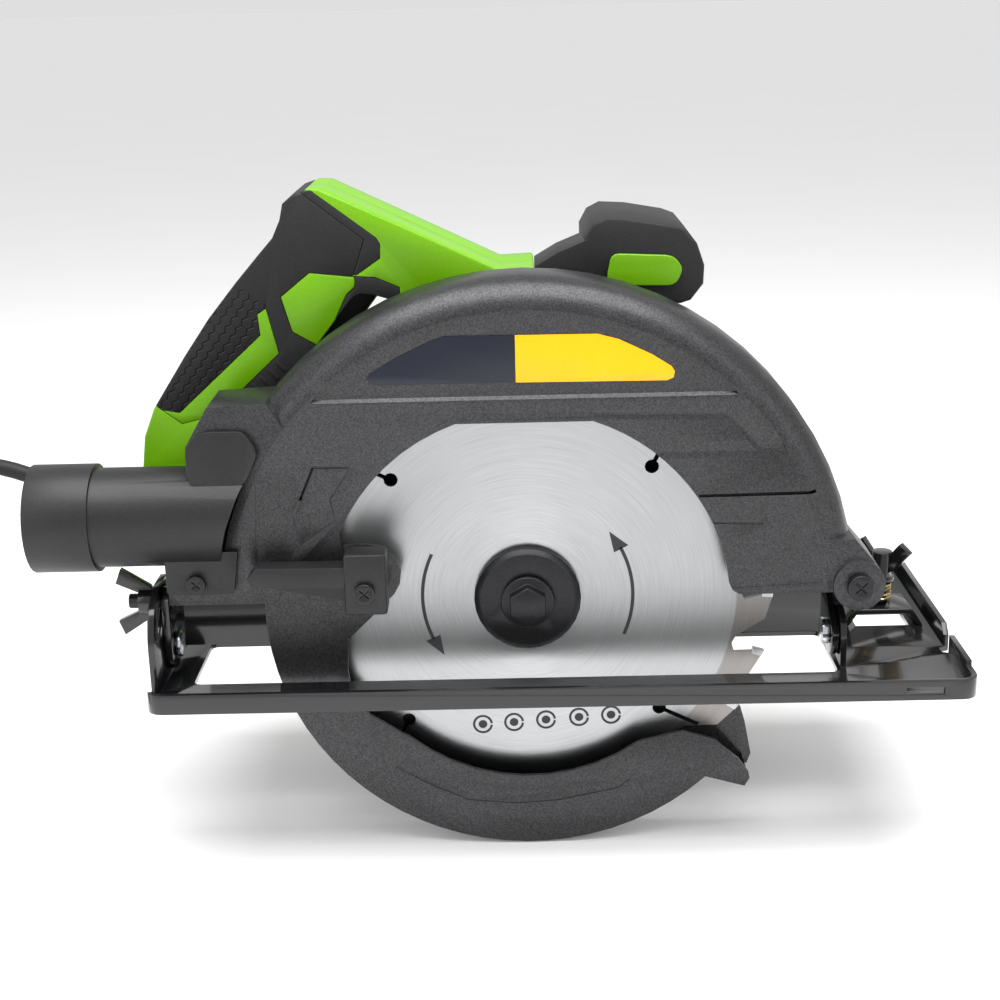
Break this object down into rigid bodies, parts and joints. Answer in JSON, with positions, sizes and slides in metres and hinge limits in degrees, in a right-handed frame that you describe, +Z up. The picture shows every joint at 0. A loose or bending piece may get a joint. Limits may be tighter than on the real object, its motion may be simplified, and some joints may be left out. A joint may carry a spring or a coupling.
{
  "type": "circular saw",
  "caption": "Corded hand-held circular saw with a guarded blade, retracting lower guard, dust outlet, D handle and a tilting steel shoe, for straight cuts in wood.",
  "frame": {"origin": "on the underside of the shoe's near rail, straight below the arbor", "axes": "+X the cutting direction, +Y from the blade side towards the motor, +Z up"},
  "size_m": [0.534, 0.2194, 0.2478],
  "materials": {
    "black_steel": "gloss black paint",
    "guard_grey": "satin speckled charcoal",
    "port_plastic": "fine grained satin",
    "green_plastic": "satin moulded",
    "black_rubber": "soft matte",
    "black_plastic": "satin",
    "brushed_steel": "circular ground",
    "black_oxide": "blackened",
    "zinc": "bright zinc",
    "spring_steel": "oiled wire",
    "cast_alloy": "as cast",
    "copper": "enamelled winding",
    "laminated_iron": "laminated",
    "carbon": "pressed carbon"
  },
  "bodies": {
    "shoe": {"shoe": "black_steel", "fence_strap": "black_steel", "bevel_rivet_front": "zinc", "bevel_rivet_rear": "zinc", "fence_clamp_spring": "spring_steel"},
    "fence_screw": {"fence_clamp_screw": "black_steel"},
    "tilt_frame": {"front_link": "black_steel", "depth_quadrant": "black_steel", "bevel_stud": "black_oxide"},
    "bevel_nut": {"bevel_wing_nut": "black_steel"},
    "saw_body": {"upper_guard": "guard_grey", "dust_port": "port_plastic", "dust_port_screw": "black_oxide", "gear_case": "cast_alloy", "spindle_bearing_front": "zinc", "spindle_bearing_rear": "zinc", "armature_bearing_front": "zinc", "armature_bearing_rear": "zinc", "motor_housing": "green_plastic", "motor_end_cap": "black_plastic", "brush_cap_front": "black_plastic", "brush_cap_rear": "black_plastic", "carbon_brush_front": "carbon", "carbon_brush_rear": "carbon", "stator": "laminated_iron", "handle_shell_near": "green_plastic", "handle_shell_far": "green_plastic", "grip_overmold": "black_rubber", "switch_body": "black_plastic", "front_handle": "black_rubber", "front_handle_inset": "green_plastic", "depth_pivot_screw": "black_oxide", "depth_pivot_nut": "zinc", "depth_lock_bolt": "zinc", "guard_spring": "spring_steel", "strain_relief": "black_rubber", "power_cord": "black_rubber", "cord_coil": "black_rubber", "mains_plug": "black_rubber"},
    "arbor": {"saw_blade": "brushed_steel", "inner_flange": "black_oxide", "outer_flange": "black_oxide", "blade_bolt": "black_oxide", "spindle": "zinc", "spindle_gear": "zinc"},
    "armature": {"armature_shaft": "zinc", "armature_core": "copper", "commutator": "copper", "cooling_fan": "black_plastic"},
    "retracting_guard": {"lower_guard": "guard_grey", "guard_lever": "port_plastic", "guard_lever_screw": "black_oxide"},
    "trigger_body": {"trigger": "black_plastic"},
    "lock_off": {"lock_off_button": "black_plastic"},
    "spindle_lock": {"spindle_lock_button": "black_plastic"},
    "depth_lever": {"depth_lock_lever": "black_plastic"}
  },
  "joints": [
    {"name": "bevel_tilt", "type": "hinge", "parent": "shoe", "child": "tilt_frame", "pos_m": [0, 0.026, 0.013], "axis": [1, 0, 0], "range_deg": [0, 45]},
    {"name": "depth_swing", "type": "hinge", "parent": "tilt_frame", "child": "saw_body", "pos_m": [0.1213, 0.026, 0.0363], "axis": [0, 1, 0], "range_deg": [0, 30]},
    {"name": "bevel_nut_turn", "type": "hinge", "parent": "tilt_frame", "child": "bevel_nut", "pos_m": [-0.143, 0.026, 0.0305], "axis": [1, 0, 0], "range_deg": [-180, 180]},
    {"name": "fence_screw_turn", "type": "hinge", "parent": "shoe", "child": "fence_screw", "pos_m": [0.1415, 0.066, 0.0195], "axis": [0, 0, 1], "range_deg": [-180, 180]},
    {"name": "arbor_spin", "type": "hinge", "parent": "saw_body", "child": "arbor", "pos_m": [0, 0.026, 0.0295], "axis": [0, 1, 0], "continuous": true},
    {"name": "armature_spin", "type": "hinge", "parent": "saw_body", "child": "armature", "pos_m": [-0.00664, 0.026, 0.05428], "axis": [0, 1, 0], "continuous": true},
    {"name": "lower_guard_swing", "type": "hinge", "parent": "saw_body", "child": "retracting_guard", "pos_m": [0, 0.026, 0.0295], "axis": [0, 1, 0], "range_deg": [0, 110], "stiffness_Nm_per_rad": 0.25, "springref_deg": -57.3},
    {"name": "trigger_squeeze", "type": "slide", "parent": "saw_body", "child": "trigger_body", "axis": [-0.7901, 0, 0.613], "range_m": [0, 0.005], "stiffness_N_per_m": 600, "springref_m": -0.002},
    {"name": "lock_off_press", "type": "slide", "parent": "saw_body", "child": "lock_off", "axis": [0, -1, 0], "range_m": [0, 0.003], "stiffness_N_per_m": 500, "springref_m": -0.001},
    {"name": "spindle_lock_press", "type": "slide", "parent": "saw_body", "child": "spindle_lock", "axis": [-1, 0, 0], "range_m": [0, 0.003], "stiffness_N_per_m": 500, "springref_m": -0.001},
    {"name": "depth_lever_turn", "type": "hinge", "parent": "saw_body", "child": "depth_lever", "pos_m": [-0.0507, 0.048, 0.0363], "axis": [0, 1, 0], "range_deg": [-22, 0]}
  ],
  "couplings": [
    {"joint": "armature_spin", "follows": "arbor_spin", "ratio": -5}
  ]
}
